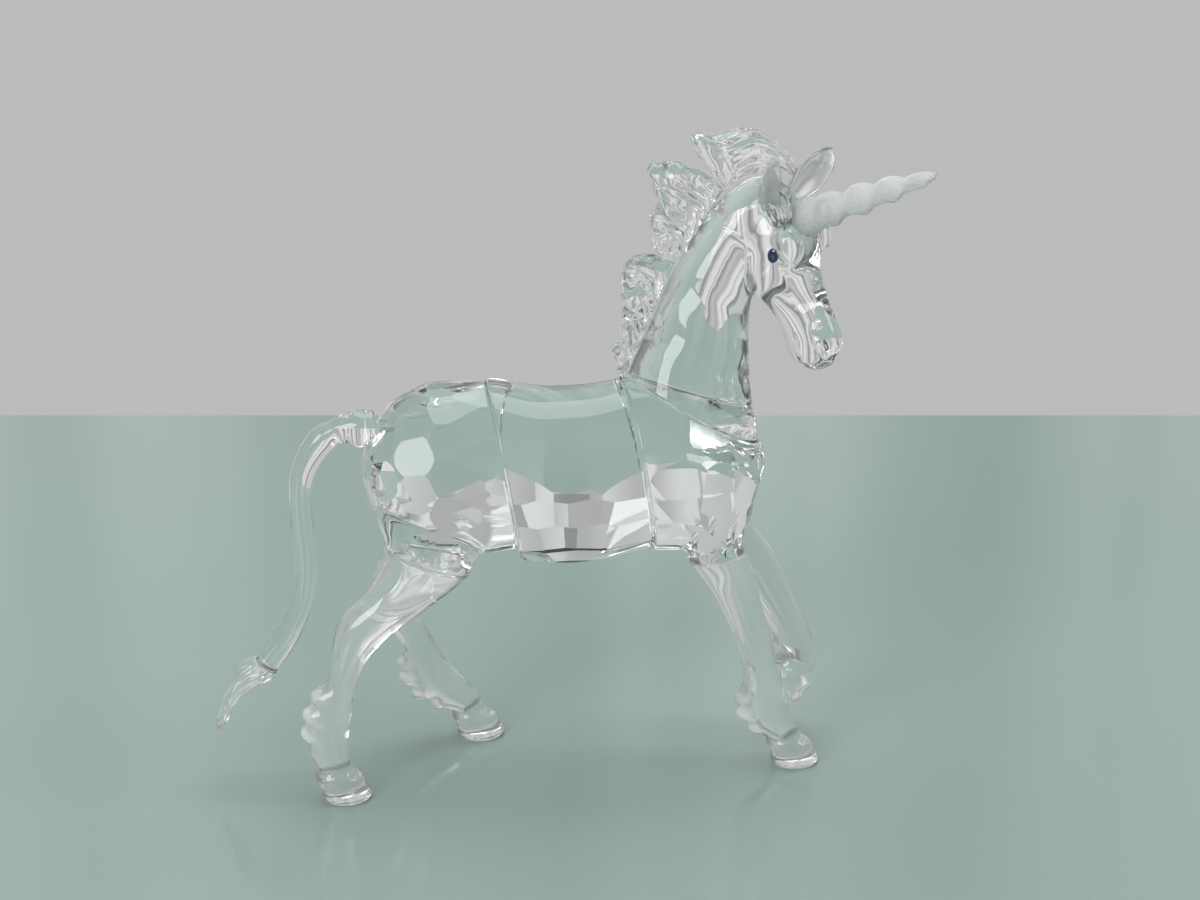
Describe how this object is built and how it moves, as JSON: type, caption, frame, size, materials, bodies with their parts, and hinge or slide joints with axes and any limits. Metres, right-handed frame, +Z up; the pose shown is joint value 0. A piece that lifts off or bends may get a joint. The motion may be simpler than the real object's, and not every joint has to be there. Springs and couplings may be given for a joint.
{
  "type": "unicorn figurine",
  "caption": "Clear cut-crystal unicorn in a walking pose, glued from faceted body blocks, pressed legs, neck, hair clumps and tail, with a frosted spiral horn and blue eyes.",
  "frame": {"origin": "bottom centre of the bounding box, on the surface that the hooves stand on", "axes": "+X where the animal faces, +Y to its left, +Z up"},
  "size_m": [0.1146, 0.0342, 0.1094],
  "materials": {
    "cut_crystal": "clear lead crystal, cut in flat polished facets",
    "pressed_crystal": "clear pressed crystal, fire polished and smooth",
    "cast_crystal": "clear cast crystal with hair grooves",
    "drawn_crystal": "clear bent crystal rod, fire polished",
    "frosted_crystal": "acid-frosted crystal",
    "eye_stone": "polished deep blue stone with a dark centre"
  },
  "bodies": {
    "root": {"hindquarters": "cut_crystal", "barrel": "cut_crystal", "chest": "cut_crystal", "neck_and_head": "pressed_crystal", "hind_leg_right": "pressed_crystal", "hind_leg_left": "pressed_crystal", "fore_leg_right": "pressed_crystal", "fore_leg_left": "pressed_crystal", "ear_right": "pressed_crystal", "ear_left": "pressed_crystal", "mane_lower": "cast_crystal", "mane_middle": "cast_crystal", "mane_crest": "cast_crystal", "forelock": "cast_crystal", "tail_tuft": "cast_crystal", "tail": "drawn_crystal", "horn": "frosted_crystal", "eye_right": "eye_stone", "eye_left": "eye_stone"}
  },
  "joints": []
}
